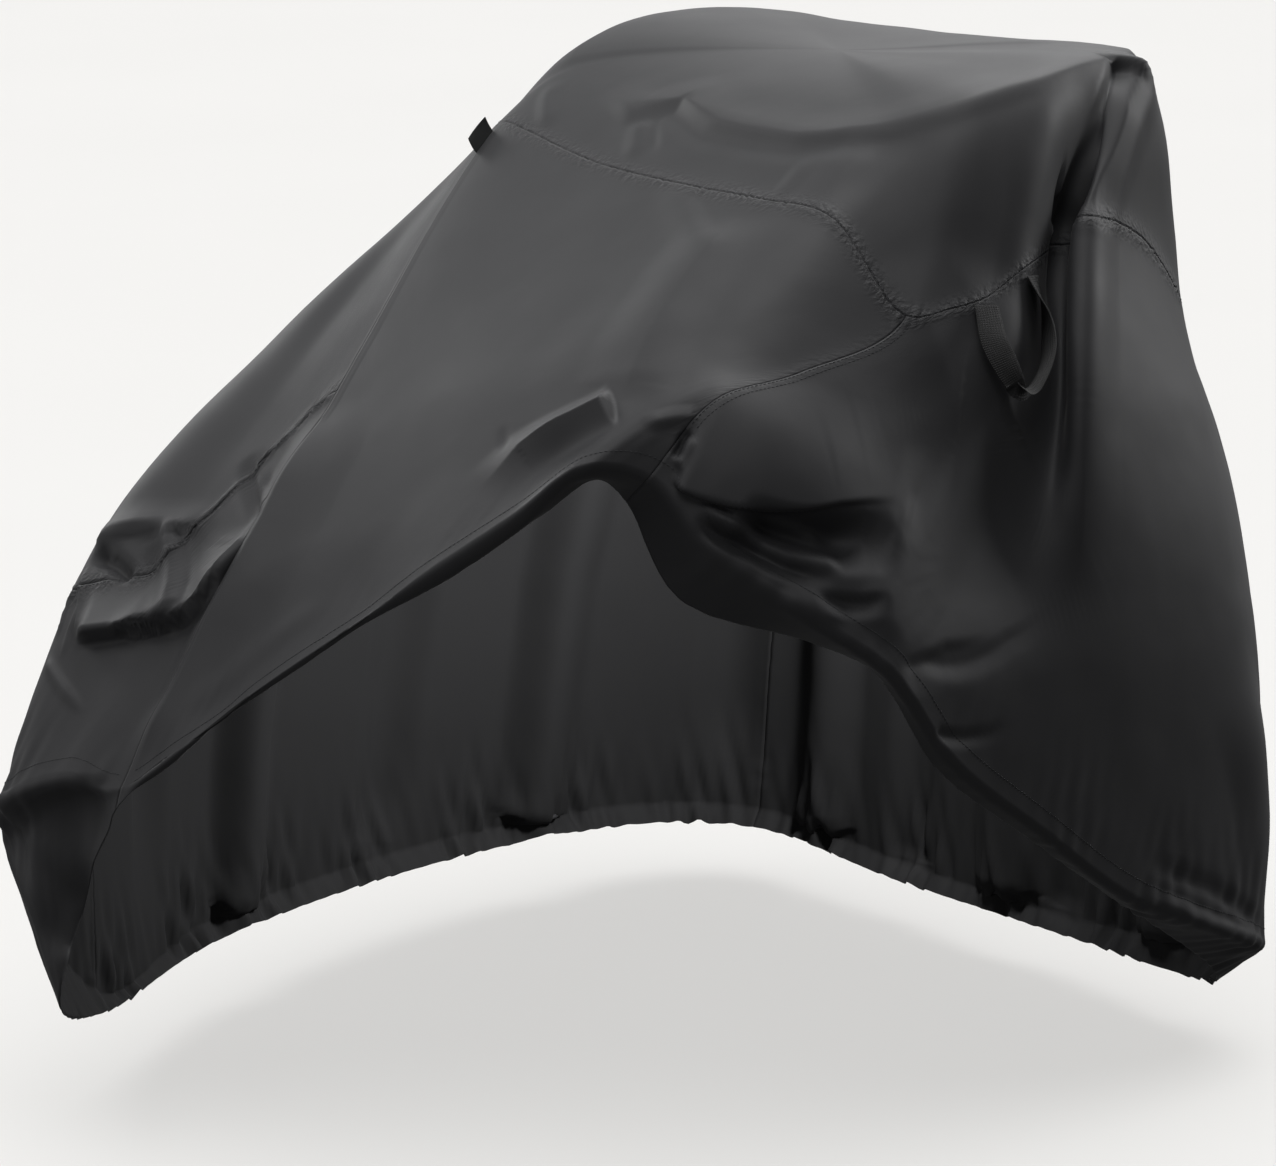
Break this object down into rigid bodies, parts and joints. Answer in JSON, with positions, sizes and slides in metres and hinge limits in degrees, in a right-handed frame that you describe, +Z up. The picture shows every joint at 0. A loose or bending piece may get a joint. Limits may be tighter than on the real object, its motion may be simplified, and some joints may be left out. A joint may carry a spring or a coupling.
{
  "type": "bike trailer cover",
  "caption": "Fitted weather cover for a bike trailer, draped in coated cloth with a sloping front, a lifted side hem, a webbing pull loop and a bare tag.",
  "frame": {"origin": "the point at mid width just under the rear part of the top, where the cover hangs on its support", "axes": "+Z up, -Y towards the low sloping front end, +X to the side with the lifted hem and the pull loop"},
  "size_m": [0.8756, 1.0332, 0.8793],
  "materials": {
    "coated_cloth": "satin",
    "webbing": "matte",
    "woven_tag": "matte"
  },
  "bodies": {
    "root": {"top_panel": "coated_cloth", "front_panel": "coated_cloth", "near_side_panel": "coated_cloth", "back_panel": "coated_cloth", "far_side_panel": "coated_cloth", "nose_upper_panel": "coated_cloth", "nose_lower_panel": "coated_cloth", "pull_loop": "webbing", "blank_tag": "woven_tag"}
  },
  "joints": []
}
